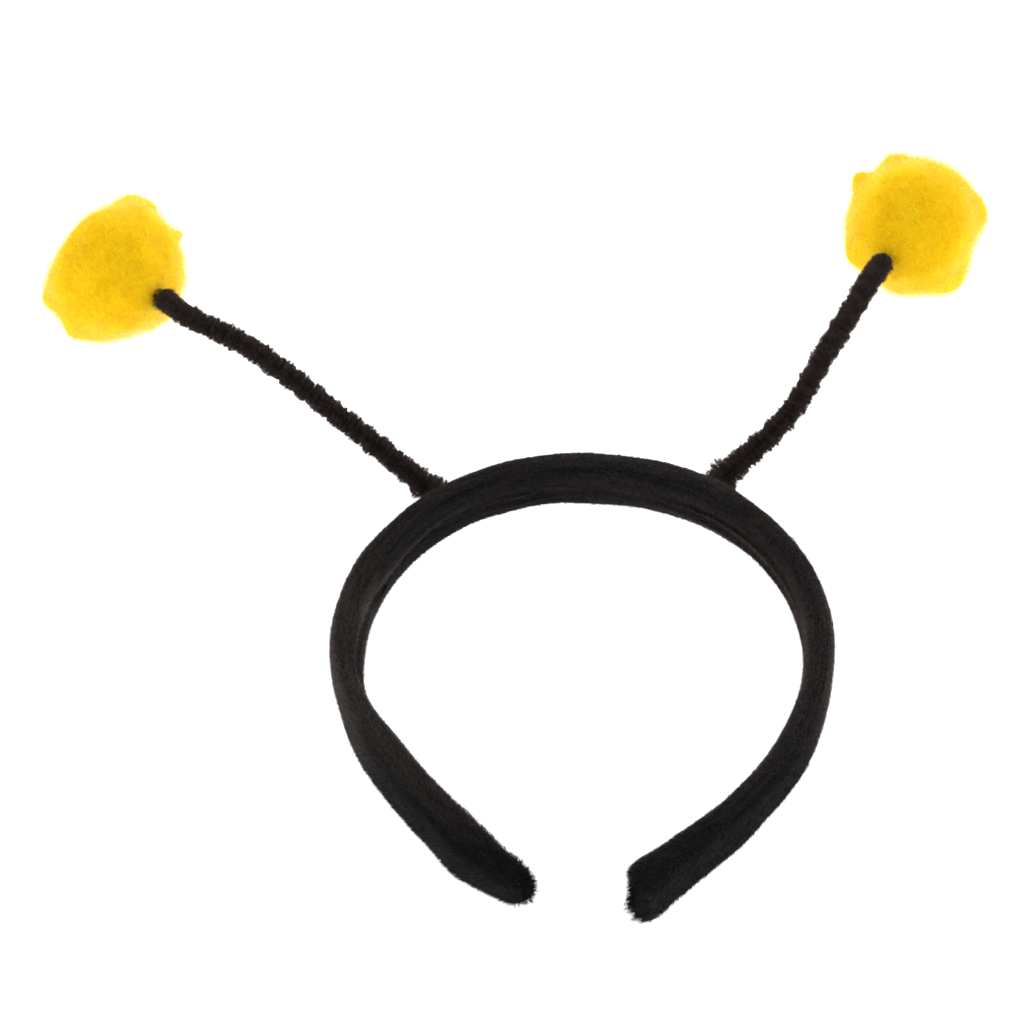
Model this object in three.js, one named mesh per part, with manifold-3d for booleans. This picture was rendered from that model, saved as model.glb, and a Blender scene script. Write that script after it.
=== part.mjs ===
// Antenna headband: a plush-covered spring hoop with two chenille wire antennae, each tipped with a pompom.
// Millimetres, +Z up. The hoop lies on its edge on the plane z = 0, its crown towards +Y and its open
// side towards -Y. Places are first given from the hoop's centre, and the whole group is moved at the
// end so that the origin is the middle of its footprint.

import * as THREE from "three";
import { mergeVertices } from "three/addons/utils/BufferGeometryUtils.js";
import Module from "manifold-3d";

const wasm = await Module();
wasm.setup();

// Clear space kept between neighbouring pieces
const FIT_GAP = 0.3;

// Plush band: a section is a rounded rectangle, thick across the hoop and wide up from the surface
const BAND_STATIONS = 48;
const SECTION_STEP = 15;
const TANGENT_STEP = 0.5;
const SECTION_POWER = 3.6;
const REST_PRESS = 0.6;
const SEAM_DEPTH = 1.4;
const SEAM_SPREAD = 1.2;
const SEAM_ANGLES = [174, 179, 180, 181, 186];

// Sections along the hoop: turn is the angle in degrees from the crown, positive towards +X, and radius
// is the distance from the hoop's centre to the middle of the section
const BAND_SECTIONS = [
  { turn: -165, radius: 64.2, thick: 8.4, wide: 12.4 },
  { turn: -158, radius: 62.2, thick: 9.4, wide: 15.4 },
  { turn: -146, radius: 58.2, thick: 10.0, wide: 16.4 },
  { turn: -126, radius: 55.8, thick: 9.4, wide: 16.4 },
  { turn: -114, radius: 56.4, thick: 8.2, wide: 16.0 },
  { turn: -104, radius: 57.6, thick: 6.0, wide: 15.6 },
  { turn: -92, radius: 58.2, thick: 7.6, wide: 15.8 },
  { turn: -72, radius: 58.2, thick: 8.5, wide: 16.0 },
  { turn: -48, radius: 57.0, thick: 7.7, wide: 16.0 },
  { turn: -15, radius: 55.4, thick: 7.0, wide: 16.0 },
  { turn: 10, radius: 55.1, thick: 7.4, wide: 16.0 },
  { turn: 35, radius: 57.4, thick: 7.0, wide: 16.0 },
  { turn: 60, radius: 59.1, thick: 6.7, wide: 16.0 },
  { turn: 80, radius: 59.1, thick: 7.6, wide: 16.0 },
  { turn: 95, radius: 58.1, thick: 7.1, wide: 15.8 },
  { turn: 117, radius: 57.1, thick: 8.0, wide: 16.0 },
  { turn: 140, radius: 57.6, thick: 7.6, wide: 16.2 },
  { turn: 156, radius: 60.6, thick: 8.4, wide: 16.6 },
  { turn: 168, radius: 66.2, thick: 9.6, wide: 18.2 },
];

const FIRST_TURN = BAND_SECTIONS[0].turn;
const LAST_TURN = BAND_SECTIONS.at(-1).turn;

// Closed tip on the left arm: rings past the last section, by distance past it and share of its size
const CLOSED_TIP = [
  { past: 1.2, share: 0.93 },
  { past: 2.7, share: 0.76 },
  { past: 3.8, share: 0.45 },
];
const CLOSED_TIP_LENGTH = 4.2;

// Cut tip on the right arm: the sleeve's lip, pulled back at the faces by the notch, and the shallow
// pocket inside it
const OPEN_TIP = [
  { past: 1.6, share: 0.9, notch: 1.1 },
  { past: 1.3, share: 0.66, notch: 1.1 },
  { past: -4.5, share: 0.58, notch: 0 },
];
const POCKET_DEPTH = 5.0;

// Chenille stems: the pile winds round the wire as one low ridge
const STEM_RADIUS = 2.8;
const STEM_RIDGE = 0.35;
const STEM_PITCH = 5.6;
const STEM_SIDES = 8;
const STEM_RINGS_PER_TURN = 6;
const SOCKET_CLEARANCE = STEM_RADIUS + STEM_RIDGE + FIT_GAP;

// Routes of the stems, from the socket in the band's outer face to the end inside the pompom
const STEM_ROUTES = {
  left: [
    { x: -34.6, y: 47.4, z: 7.8 },
    { x: -39.4, y: 51.0, z: 9.2 },
    { x: -50.9, y: 59.9, z: 13.0 },
    { x: -63.8, y: 69.5, z: 17.2 },
    { x: -76.7, y: 79.8, z: 20.6 },
    { x: -87.2, y: 87.2, z: 22.6 },
    { x: -96.3, y: 91.8, z: 23.8 },
    { x: -102.9, y: 95.7, z: 24.2 },
    { x: -107.2, y: 100.6, z: 23.4 },
    { x: -110.8, y: 104.6, z: 22.0 },
  ],
  right: [
    { x: 32.4, y: 49.4, z: 7.8 },
    { x: 36.1, y: 54.2, z: 9.2 },
    { x: 43.9, y: 60.0, z: 12.8 },
    { x: 51.9, y: 66.8, z: 16.5 },
    { x: 57.3, y: 74.1, z: 19.5 },
    { x: 61.7, y: 82.0, z: 21.8 },
    { x: 66.9, y: 90.5, z: 23.4 },
    { x: 72.0, y: 99.6, z: 24.3 },
    { x: 75.8, y: 106.6, z: 24.4 },
    { x: 79.2, y: 112.4, z: 23.4 },
    { x: 82.2, y: 117.6, z: 22.0 },
  ],
};

// Pompoms: rounded locks of fleece stand on a round head
const POMPOM_REACH = 18.9;
const HEAD_RADIUS = 15.4;
const HEAD_DETAIL = 2;
const LOCK_COUNT = 34;
const LOCK_SIDES = 7;
const LOCK_UNEVEN = 0.7;
const GOLDEN_ANGLE = Math.PI * (3 - Math.sqrt(5));

// Profile of a lock: width out from its axis and distance back from its tip
const LOCK_PROFILE = [
  { out: 0, back: 10.0 },
  { out: 6.2, back: 8.0 },
  { out: 7.3, back: 5.0 },
  { out: 6.2, back: 2.3 },
  { out: 3.5, back: 0.5 },
  { out: 0, back: 0 },
];

// Centre of each pompom and the directions in which its outline swells or is dented
const POMPOMS = {
  left: {
    centre: { x: -121.2, y: 114.4, z: 17.7 },
    swells: [
      { x: -0.79, y: 0.5, z: 0.35, rise: -5.0, spread: 0.18 },
      { x: 0.3, y: 0.78, z: 0.55, rise: 1.5, spread: 0.22 },
      { x: -0.71, y: -0.58, z: -0.41, rise: 2.2, spread: 0.24 },
    ],
  },
  right: {
    centre: { x: 89.6, y: 129.2, z: 17.7 },
    swells: [
      { x: 0.92, y: -0.32, z: -0.22, rise: -3.4, spread: 0.09 },
      { x: -0.57, y: 0.67, z: 0.47, rise: 1.9, spread: 0.2 },
      { x: -0.91, y: -0.35, z: -0.24, rise: 1.1, spread: 0.1 },
      { x: 0.6, y: -0.65, z: -0.46, rise: 1.1, spread: 0.1 },
    ],
  },
};

const PLUSH = new THREE.MeshStandardMaterial({ color: 0x1f1c1b, roughness: 0.95, metalness: 0 });
const CHENILLE = new THREE.MeshStandardMaterial({ color: 0x1e1715, roughness: 0.95, metalness: 0 });
const FLEECE = new THREE.MeshStandardMaterial({ color: 0xf2bf14, roughness: 0.9, metalness: 0 });

// A closed skin over rings of points, with a point that closes each end
function loftRings(rings, startPoint, endPoint) {
  const sides = rings[0].length;
  const points = [startPoint, ...rings.flat(), endPoint];
  const last = points.length - 1;
  const index = [];
  const at = (ring, side) => 1 + ring * sides + (side % sides);
  for (let side = 0; side < sides; side++) {
    index.push(0, at(0, side + 1), at(0, side));
    for (let ring = 0; ring < rings.length - 1; ring++) {
      index.push(at(ring, side), at(ring, side + 1), at(ring + 1, side));
      index.push(at(ring, side + 1), at(ring + 1, side + 1), at(ring + 1, side));
    }
    index.push(last, at(rings.length - 1, side), at(rings.length - 1, side + 1));
  }
  const geometry = new THREE.BufferGeometry().setFromPoints(points);
  geometry.setIndex(index);
  return geometry;
}

// A geometry with shared vertices and no empty triangles, as a solid that can be joined and cut
function solidOf(geometry) {
  const bare = geometry.clone();
  bare.deleteAttribute("normal");
  bare.deleteAttribute("uv");
  const merged = mergeVertices(bare);
  const corners = merged.index.array;
  const triVerts = [];
  for (let i = 0; i < corners.length; i += 3) {
    const [a, b, c] = corners.slice(i, i + 3);
    if (a !== b && b !== c && c !== a) {
      triVerts.push(a, b, c);
    }
  }
  return new wasm.Manifold(
    new wasm.Mesh({
      numProp: 3,
      vertProperties: Float32Array.from(merged.attributes.position.array),
      triVerts: Uint32Array.from(triVerts),
    }),
  );
}

function meshOf(name, solid, material) {
  const { vertProperties, triVerts } = solid.getMesh();
  const geometry = new THREE.BufferGeometry();
  geometry.setAttribute("position", new THREE.BufferAttribute(vertProperties, 3));
  geometry.setIndex(new THREE.BufferAttribute(triVerts, 1));
  geometry.computeVertexNormals();
  const mesh = new THREE.Mesh(geometry, material);
  mesh.name = name;
  return mesh;
}

// The band's centre line and sizes at a turn, by a smooth curve through the sections
const sectionCurve = new THREE.CubicInterpolant(
  BAND_SECTIONS.map((row) => row.turn),
  BAND_SECTIONS.flatMap((row) => [row.radius, row.thick, row.wide]),
  3,
);

function bandPoint(turn) {
  const [radius] = sectionCurve.evaluate(turn);
  const angle = THREE.MathUtils.degToRad(turn);
  return new THREE.Vector3(radius * Math.sin(angle), radius * Math.cos(angle), 0);
}

// The place, directions and sizes of the section at a turn; along points towards the right tip
function bandSection(turn) {
  const centre = bandPoint(turn);
  const inside = THREE.MathUtils.clamp(turn, FIRST_TURN + TANGENT_STEP, LAST_TURN - TANGENT_STEP);
  const along = bandPoint(inside + TANGENT_STEP).sub(bandPoint(inside - TANGENT_STEP)).normalize();
  const outward = new THREE.Vector3(-along.y, along.x, 0);
  const [, thick, wide] = sectionCurve.evaluate(turn);
  return { centre, along, outward, thick, wide };
}

const signedPower = (value, power) => Math.sign(value) * Math.abs(value) ** power;

const sectionAngles = [];
for (let angle = SECTION_STEP - 180; angle < 180; angle += SECTION_STEP) {
  sectionAngles.push(angle);
}
sectionAngles.push(...SEAM_ANGLES);

// One ring of the band: past moves it along the hoop, share shrinks it, and notch pulls its faces back
function bandRing(section, past = 0, share = 1, notch = 0) {
  const middle = section.wide / 2 - REST_PRESS;
  return sectionAngles.map((degrees) => {
    const angle = THREE.MathUtils.degToRad(degrees);
    const up = (section.wide / 2) * signedPower(Math.sin(angle), 2 / SECTION_POWER);
    const bulge = (section.thick / 2) * signedPower(Math.cos(angle), 2 / SECTION_POWER);
    const onSeam = Math.cos(angle) < 0 ? SEAM_DEPTH * Math.exp(-((up / SEAM_SPREAD) ** 2)) : 0;
    const shift = past - notch * Math.cos(2 * angle);
    const point = section.centre.clone();
    point.addScaledVector(section.outward, share * (bulge + onSeam));
    point.addScaledVector(section.along, shift);
    point.z = Math.max(0, middle + share * up);
    return point;
  });
}

function plushBand() {
  const closed = bandSection(FIRST_TURN);
  const open = bandSection(LAST_TURN);
  const rings = CLOSED_TIP.map((row) => bandRing(closed, -row.past, row.share)).reverse();
  for (let i = 0; i <= BAND_STATIONS; i++) {
    rings.push(bandRing(bandSection(THREE.MathUtils.lerp(FIRST_TURN, LAST_TURN, i / BAND_STATIONS))));
  }
  OPEN_TIP.forEach((row) => rings.push(bandRing(open, row.past, row.share, row.notch)));
  const tip = closed.centre.clone().addScaledVector(closed.along, -CLOSED_TIP_LENGTH);
  tip.z = closed.wide / 2 - REST_PRESS;
  const pocket = open.centre.clone().addScaledVector(open.along, -POCKET_DEPTH);
  pocket.z = open.wide / 2 - REST_PRESS;
  return solidOf(loftRings(rings, tip, pocket));
}

// A tube along a stem's route, with its radius given by the place round it and along it
function stemTube(side, radiusAt, extra) {
  const points = STEM_ROUTES[side].map((row) => new THREE.Vector3(row.x, row.y, row.z));
  const route = new THREE.CatmullRomCurve3(points);
  const length = route.getLength();
  const steps = Math.round((length / STEM_PITCH) * STEM_RINGS_PER_TURN);
  const frames = route.computeFrenetFrames(steps, false);
  const rings = [];
  for (let i = 0; i <= steps; i++) {
    const centre = route.getPointAt(i / steps);
    if (i === 0) {
      centre.addScaledVector(frames.tangents[i], -extra);
    }
    if (i === steps) {
      centre.addScaledVector(frames.tangents[i], extra);
    }
    const ring = [];
    for (let k = 0; k < STEM_SIDES; k++) {
      const angle = (2 * Math.PI * k) / STEM_SIDES;
      const radius = radiusAt(angle, (length * i) / steps);
      const point = centre.clone();
      point.addScaledVector(frames.normals[i], radius * Math.cos(angle));
      point.addScaledVector(frames.binormals[i], radius * Math.sin(angle));
      ring.push(point);
    }
    rings.push(ring);
  }
  const start = route.getPointAt(0).addScaledVector(frames.tangents[0], -extra);
  const end = route.getPointAt(1).addScaledVector(frames.tangents[steps], extra);
  return solidOf(loftRings(rings, start, end));
}

function chenilleStem(side) {
  const ridgeAngle = (along) => (2 * Math.PI * along) / STEM_PITCH;
  const wound = (angle, along) => STEM_RADIUS + STEM_RIDGE * Math.cos(angle - ridgeAngle(along));
  return stemTube(side, wound, 0);
}

function stemSocket(side) {
  return stemTube(side, () => SOCKET_CLEARANCE, FIT_GAP);
}

// How far a pompom's locks reach in a direction
function reachTowards(direction, swells) {
  return swells.reduce((reach, row) => {
    const towards = new THREE.Vector3(row.x, row.y, row.z).normalize();
    return reach + row.rise * Math.exp((direction.dot(towards) - 1) / row.spread);
  }, POMPOM_REACH);
}

function pompom(side) {
  const { swells } = POMPOMS[side];
  const centre = new THREE.Vector3().copy(POMPOMS[side].centre);
  const profile = LOCK_PROFILE.map((row) => new THREE.Vector2(row.out, -row.back));
  const lock = new THREE.LatheGeometry(profile, LOCK_SIDES);
  const head = new THREE.IcosahedronGeometry(HEAD_RADIUS, HEAD_DETAIL);
  let solid = solidOf(head.translate(centre.x, centre.y, centre.z));
  const axis = new THREE.Vector3(0, 1, 0);
  const size = new THREE.Vector3(1, 1, 1);
  for (let i = 0; i < LOCK_COUNT; i++) {
    const height = 1 - (2 * i + 1) / LOCK_COUNT;
    const ringRadius = Math.sqrt(1 - height * height);
    const turn = i * GOLDEN_ANGLE;
    const direction = new THREE.Vector3(ringRadius * Math.cos(turn), ringRadius * Math.sin(turn), height);
    const reach = reachTowards(direction, swells) + LOCK_UNEVEN * Math.sin(turn * i);
    const tip = centre.clone().addScaledVector(direction, reach);
    const stand = new THREE.Quaternion().setFromUnitVectors(axis, direction);
    const spin = new THREE.Quaternion().setFromAxisAngle(axis, turn);
    const place = new THREE.Matrix4().compose(tip, stand.multiply(spin), size);
    solid = solid.add(solidOf(lock.clone().applyMatrix4(place)));
  }
  const below = new THREE.BoxGeometry(4 * POMPOM_REACH, 4 * POMPOM_REACH, 2 * POMPOM_REACH);
  below.translate(centre.x, centre.y, -POMPOM_REACH);
  return solid.subtract(solidOf(below));
}

const headband = new THREE.Group();
const sockets = { left: stemSocket("left"), right: stemSocket("right") };
const band = plushBand().subtract(sockets.left).subtract(sockets.right);
headband.add(meshOf("plush_band", band, PLUSH));
for (const side of ["left", "right"]) {
  headband.add(meshOf(`antenna_stem_${side}`, chenilleStem(side), CHENILLE));
  headband.add(meshOf(`pompom_${side}`, pompom(side).subtract(sockets[side]), FLEECE));
}

// The origin goes to the middle of the footprint, on the surface that the headband lies on
const extent = new THREE.Box3().setFromObject(headband);
const middle = extent.getCenter(new THREE.Vector3());
headband.position.set(-middle.x, -middle.y, 0);
headband.updateMatrixWorld(true);

export default headband;
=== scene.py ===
# %% [markdown]
# Antenna headband, lying on its edge: a spring hoop in a sleeve of short black plush, two wire stems
# wound with black chenille and two yellow fleece pompoms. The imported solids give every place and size.
# This lesson dresses them: a smooth backing for each soft piece, and on it thousands of real fibres grown
# by Geometry Nodes. The solids stay hidden behind the soft pieces that stand for them.

# %% Load the frame
import math

import bmesh
import bpy
import numpy as np
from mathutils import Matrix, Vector


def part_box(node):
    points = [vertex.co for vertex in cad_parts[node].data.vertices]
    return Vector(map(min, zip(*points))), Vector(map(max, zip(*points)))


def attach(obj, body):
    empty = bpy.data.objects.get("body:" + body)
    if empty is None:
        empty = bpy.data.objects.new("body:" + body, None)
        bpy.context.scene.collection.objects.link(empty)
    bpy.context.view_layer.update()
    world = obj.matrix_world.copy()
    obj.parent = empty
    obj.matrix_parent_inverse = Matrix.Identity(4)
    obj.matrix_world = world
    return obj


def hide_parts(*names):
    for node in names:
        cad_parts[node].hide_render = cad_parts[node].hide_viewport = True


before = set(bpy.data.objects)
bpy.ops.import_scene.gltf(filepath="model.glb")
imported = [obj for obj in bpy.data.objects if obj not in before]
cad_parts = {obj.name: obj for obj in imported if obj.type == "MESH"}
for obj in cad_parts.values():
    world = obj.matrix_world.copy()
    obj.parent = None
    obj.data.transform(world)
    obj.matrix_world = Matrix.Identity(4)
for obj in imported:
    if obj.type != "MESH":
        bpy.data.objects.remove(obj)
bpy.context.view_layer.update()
MM = 0.001
UP = np.array([0, 0, 1])
SIDES = ("left", "right")
print("solids:", ", ".join(sorted(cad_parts)))

# %% [markdown]
# The camera stands in front of the hoop's open side and looks down on it at 55 degrees. A long lens from
# 0.88 m away keeps the near tips and the far pompoms almost at one scale, as a product photograph does.

# %% Camera
CAMERA_AIM = Vector((-1.24, 4.38, 8.0)) * MM
CAMERA_DISTANCE = 880 * MM
CAMERA_ELEVATION = math.radians(55)
CAMERA_REACH = 20
HALF_PICTURE = 512
PIXELS_PER_METRE = 3950
HALF_VIEW = HALF_PICTURE / (PIXELS_PER_METRE * CAMERA_DISTANCE)

camera_data = bpy.data.cameras.new("camera")
camera_data.lens = camera_data.sensor_width / 2 / HALF_VIEW
camera_data.clip_end = CAMERA_REACH
camera = bpy.data.objects.new("camera", camera_data)
bpy.context.scene.collection.objects.link(camera)
backwards = Vector((0, -math.cos(CAMERA_ELEVATION), math.sin(CAMERA_ELEVATION)))
upwards = Vector((0, math.sin(CAMERA_ELEVATION), math.cos(CAMERA_ELEVATION)))
camera.location = CAMERA_AIM + backwards * CAMERA_DISTANCE
camera.rotation_euler = backwards.to_track_quat("Z", "Y").to_euler()
bpy.context.scene.camera = camera
print(f"camera: {camera_data.lens:.1f} mm lens at {CAMERA_DISTANCE:.2f} m")

# %% [markdown]
# Node trees are wired by code. This small bench keeps that readable: it adds a node with its settings,
# feeds a socket with a number or with another socket, and writes sums in one line. The helpers after it
# start a tree or a finish, and turn a piece with its modifiers into a plain mesh.

# %% A bench for node trees


class Bench:
    """Adds and links the nodes of one tree."""

    def __init__(self, tree):
        self.tree = tree

    def add(self, kind, feeds=None, **settings):
        node = self.tree.nodes.new(kind)
        for name, value in settings.items():
            setattr(node, name, value)
        for name, value in (feeds or {}).items():
            self.feed(self.entry(node, name), value)
        return node

    def entry(self, node, name):
        if isinstance(name, int):
            return node.inputs[name]
        return next(socket for socket in node.inputs if socket.name == name and socket.enabled)

    def feed(self, socket, value):
        if isinstance(value, bpy.types.NodeSocket):
            self.tree.links.new(value, socket)
        else:
            socket.default_value = value

    def out(self, node, name=None):
        return next(socket for socket in node.outputs if socket.enabled and name in (None, socket.name))

    def math(self, operation, *values):
        node = self.add("ShaderNodeMath", dict(enumerate(values)), operation=operation)
        return node.outputs[0]

    def vector(self, operation, *values):
        node = self.add("ShaderNodeVectorMath", dict(enumerate(values)), operation=operation)
        return self.out(node)

    def scaled(self, vector, factor):
        node = self.add("ShaderNodeVectorMath", {0: vector, "Scale": factor}, operation="SCALE")
        return node.outputs[0]

    def named(self, name, kind="FLOAT"):
        node = self.add("GeometryNodeInputNamedAttribute", {"Name": name}, data_type=kind)
        return self.out(node, "Attribute")

    def random(self, low, high, seed, kind="FLOAT"):
        feeds = {"Min": low, "Max": high, "Seed": seed}
        return self.out(self.add("FunctionNodeRandomValue", feeds, data_type=kind), "Value")


print("bench: adds, feeds and links nodes")

# %% Helpers for trees, finishes and pieces


def geometry_tree(name, inputs):
    """A Geometry Nodes tree with the named inputs: its bench, its input node and its output node."""
    tree = bpy.data.node_groups.new(name, "GeometryNodeTree")
    tree.interface.new_socket("Geometry", in_out="INPUT", socket_type="NodeSocketGeometry")
    for label, kind in inputs.items():
        tree.interface.new_socket(label, in_out="INPUT", socket_type="NodeSocket" + kind)
    tree.interface.new_socket("Geometry", in_out="OUTPUT", socket_type="NodeSocketGeometry")
    bench = Bench(tree)
    return bench, bench.add("NodeGroupInput"), bench.add("NodeGroupOutput")


def new_finish(name, shader_values):
    """A material with the values that are the same all over it: the material, its bench and its shader."""
    finish = bpy.data.materials.new(name)
    finish.use_nodes = True
    shader = finish.node_tree.nodes["Principled BSDF"]
    for label, value in shader_values.items():
        shader.inputs[label].default_value = value
    return finish, Bench(finish.node_tree), shader


def link_piece(name, mesh):
    piece = bpy.data.objects.new(name, mesh)
    bpy.context.scene.collection.objects.link(piece)
    return piece


def evaluated_mesh(piece):
    """The mesh of a piece with its modifiers worked in, as a plain mesh."""
    graph = bpy.context.evaluated_depsgraph_get()
    return bpy.data.meshes.new_from_object(
        piece.evaluated_get(graph), preserve_all_data_layers=True, depsgraph=graph
    )


def triangle_count(mesh):
    mesh.calc_loop_triangles()
    return len(mesh.loop_triangles)


print("helpers: trees, finishes and pieces")

# %% [markdown]
# The stage is a pale table that glows a little, like a photographer's light table, in a white tent whose
# sides are brighter than its roof. Light from below and from the sides is what lifts the rims of the
# pompoms and the lower edge of the black band, while their tops stay deeper. Two soft panels at the sides
# rake across the pile of the arms, a weak one overhead shows the streaks of the crown, and one behind
# shines through the fibres along the far edges.

# %% Tent and table
TENT_ROOF = 0.27
TENT_SIDES = 1.15
TENT_ROOF_HEIGHT = 0.9
TABLE_HALF_SIZE = 6.0
TABLE_CORNERS = ((-1, -1), (1, -1), (1, 1), (-1, 1))
TABLE_SHADER = {
    "Base Color": (0.82, 0.82, 0.82, 1),
    "Roughness": 0.9,
    "Specular IOR Level": 0.1,
    "Emission Color": (1, 1, 1, 1),
    "Emission Strength": 1.3,
}

scene = bpy.context.scene
scene.view_settings.view_transform = "Standard"
scene.view_settings.look = "None"
tent = bpy.data.worlds.new("white tent")
tent.use_nodes = True
tent_bench = Bench(tent.node_tree)
tent_direction = tent_bench.add("ShaderNodeTexCoord")
tent_height = tent_bench.add("ShaderNodeSeparateXYZ", {0: tent_direction.outputs["Generated"]})
tent_light = tent_bench.add(
    "ShaderNodeMapRange",
    {
        "Value": tent_height.outputs["Z"],
        "From Max": TENT_ROOF_HEIGHT,
        "To Min": TENT_SIDES,
        "To Max": TENT_ROOF,
    },
)
tent_sheet = tent.node_tree.nodes["Background"]
tent_sheet.inputs["Color"].default_value = (1, 1, 1, 1)
tent_bench.feed(tent_sheet.inputs["Strength"], tent_light.outputs["Result"])
scene.world = tent

table_mesh = bpy.data.meshes.new("light_table")
table_points = [(x * TABLE_HALF_SIZE, y * TABLE_HALF_SIZE, 0) for x, y in TABLE_CORNERS]
table_mesh.from_pydata(table_points, [], [range(len(table_points))])
table_mesh.materials.append(new_finish("pale table", TABLE_SHADER)[0])
table_top = link_piece("light_table", table_mesh)
print("stage: white tent and glowing table")

# %% Soft panels
# Each panel has its place and size in metres, and its power in watts
SOFT_PANELS = {
    "overhead_panel": ((-0.1, 0.4, 1.3), 0.9, 3.5),
    "left_panel": ((-1.1, -0.25, 0.55), 0.8, 8.0),
    "right_panel": ((1.1, -0.2, 0.5), 0.8, 8.5),
    "back_panel": ((0, 1.3, 0.5), 0.9, 18.0),
}


def soft_panel(name, place, size, watts):
    """A square lamp that faces the middle of the headband and is itself out of sight."""
    data = bpy.data.lights.new(name, "AREA")
    data.size = size
    data.energy = watts
    lamp = bpy.data.objects.new(name, data)
    lamp.location = place
    lamp.rotation_euler = (Vector(place) - CAMERA_AIM).to_track_quat("Z", "Y").to_euler()
    lamp.visible_camera = False
    scene.collection.objects.link(lamp)


for panel_name, panel_row in SOFT_PANELS.items():
    soft_panel(panel_name, *panel_row)
print(f"lights: {len(SOFT_PANELS)} soft panels")

# %% [markdown]
# A solid's mesh is loose triangles, so each backing starts as a copy with its doubled corners merged.
# A Subdivision Surface or a voxel Remesh then makes it smooth and even, and its points are moved by sums
# over whole arrays, which is much quicker than point by point. What the fibres need to know at each place
# is stored as attributes of the backing's points.

# %% Backings from the solids
MERGE_DISTANCE = 0.005 * MM


def merged_copy(node_name, quads):
    """A clean mesh with the shape of a solid."""
    shape = bmesh.new()
    shape.from_mesh(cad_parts[node_name].data)
    bmesh.ops.remove_doubles(shape, verts=shape.verts, dist=MERGE_DISTANCE)
    if quads:
        bmesh.ops.join_triangles(
            shape, faces=shape.faces, angle_face_threshold=0.6, angle_shape_threshold=1.2
        )
    shape.verts.index_update()
    points = [vertex.co.copy() for vertex in shape.verts]
    faces = [[vertex.index for vertex in face.verts] for face in shape.faces]
    shape.free()
    mesh = bpy.data.meshes.new(node_name + "_copy")
    mesh.from_pydata(points, [], faces, shade_flat=False)
    return mesh


def with_modifier(mesh, kind, **settings):
    """The mesh after one modifier."""
    helper = link_piece("helper", mesh)
    modifier = helper.modifiers.new("step", kind)
    for name, value in settings.items():
        setattr(modifier, name, value)
    made = evaluated_mesh(helper)
    bpy.data.objects.remove(helper)
    bpy.data.meshes.remove(mesh)
    return made


for node_name, node in sorted(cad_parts.items()):
    print(f"{node_name}: {len(node.data.polygons)} faces to copy")

# %% Points as arrays
WAVE_COUNT = 9
WAVE_SIZES = (0.7, 1.5)
WAVE_STARTS = (0, 6.3)


def vectors_of(items, name):
    vectors = np.empty(len(items) * 3, np.float32)
    items.foreach_get(name, vectors)
    return vectors.reshape(-1, 3).astype(float)


def points_of(mesh):
    return vectors_of(mesh.vertices, "co")


def normals_of(mesh):
    return vectors_of(mesh.vertex_normals, "vector")


def set_points(mesh, points):
    mesh.vertices.foreach_set("co", points.astype(np.float32).ravel())
    mesh.update()


def store(mesh, name, values):
    """Keeps one number or one vector for each point of a mesh."""
    kind = "FLOAT_VECTOR" if values.ndim == 2 else "FLOAT"
    layer = mesh.attributes.new(name, kind, "POINT")
    layer.data.foreach_set("vector" if values.ndim == 2 else "value", values.astype(np.float32).ravel())


def dot(first, second):
    return np.einsum("ij,ij->i", first, second)


def hump(distance, half_width):
    """A smooth hump: 1 in the middle and near 0 from one and a half half widths away."""
    return np.exp(-((distance / half_width) ** 2))


def ramp(values, steepness, start):
    """A straight rise from 0 to 1: the values times a steepness, less a start, cut off at both ends."""
    return np.clip(values * steepness - start, 0, 1)


def running_mean(rows, count):
    """The mean of each run of so many neighbours."""
    return np.array([rows[first : first + count].mean(axis=0) for first in range(len(rows) - count + 1)])


def smooth_bumps(points, size, seed):
    """Slow waves over a set of points, from about -1 to 1, the same on every run."""
    waves = np.random.default_rng(seed)
    total = np.zeros(len(points))
    for _ in range(WAVE_COUNT):
        direction = waves.normal(size=3)
        direction /= np.linalg.norm(direction)
        wave_size = size * waves.uniform(*WAVE_SIZES)
        start = waves.uniform(*WAVE_STARTS)
        total += np.sin(points @ direction * (2 * math.pi / wave_size) + start)
    return total / math.sqrt(WAVE_COUNT / 2) / 2


print(f"smooth bumps: {WAVE_COUNT} waves in each set")

# %% [markdown]
# The sleeve is the plush fabric itself, pulled tight over the spring strip and sewn along the inner face.
# A cloth simulation would give it loose folds that the real one doesn't have, so it is the solid's own
# form, subdivided and then reshaped. The seam wanders: high on the left arm, low on the right.
# A short table says where it runs, how deep it is and how far its lips swell, and the straight groove of
# the solid is filled. Each point's place on the hoop is its turn from the crown and its distance from the
# hoop's centre.

# %% Sizes of the sleeve
HOOP_CENTRE = np.array([16.07, -39.74]) * MM
HOOP_RADIUS = 57 * MM
PILE_DEPTH = 0.25 * MM
TIP_REACH = 9 * MM
CUT_REACH = 4 * MM
POCKET_FILL = 4.0 * MM
POCKET_START = 0.4
GROOVE_HALF_WIDTH = 1.2 * MM
GROOVE_FILL = 1.1 * MM
SEAM_HALF_WIDTH = 1.0 * MM
SEAM_SINK = 1.5 * MM
LIP_RISE = 0.8 * MM
SLEEVE_WAVE = 0.18 * MM
SLEEVE_WAVE_SIZE = 17 * MM
SLEEVE_CLEARANCE = 0.25 * MM
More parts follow.
